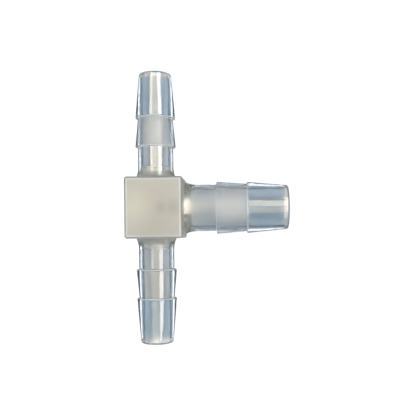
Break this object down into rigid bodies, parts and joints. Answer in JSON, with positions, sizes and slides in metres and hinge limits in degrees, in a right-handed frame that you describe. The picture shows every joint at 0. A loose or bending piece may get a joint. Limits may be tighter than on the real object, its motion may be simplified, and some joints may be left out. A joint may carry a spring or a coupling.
{
  "type": "barbed tee connector",
  "caption": "Reducing barbed tee for soft irrigation hose: a hollow hub block with small hose tails in line and a larger hose tail at right angles.",
  "frame": {"origin": "the point where the axis of the two small tails and the axis of the large tail cross", "axes": "+Y along the two small tails, +X along the large tail, away from the hub, +Z out of the hub's front face"},
  "size_m": [0.0286, 0.0482, 0.0104],
  "materials": {
    "natural_polypropylene": "uncoloured, milky, see-through polypropylene with a smooth moulded gloss; bluish where thin, cream where thick"
  },
  "bodies": {
    "root": {"hub_block": "natural_polypropylene", "upper_run_tail": "natural_polypropylene", "lower_run_tail": "natural_polypropylene", "branch_tail": "natural_polypropylene"}
  },
  "joints": []
}
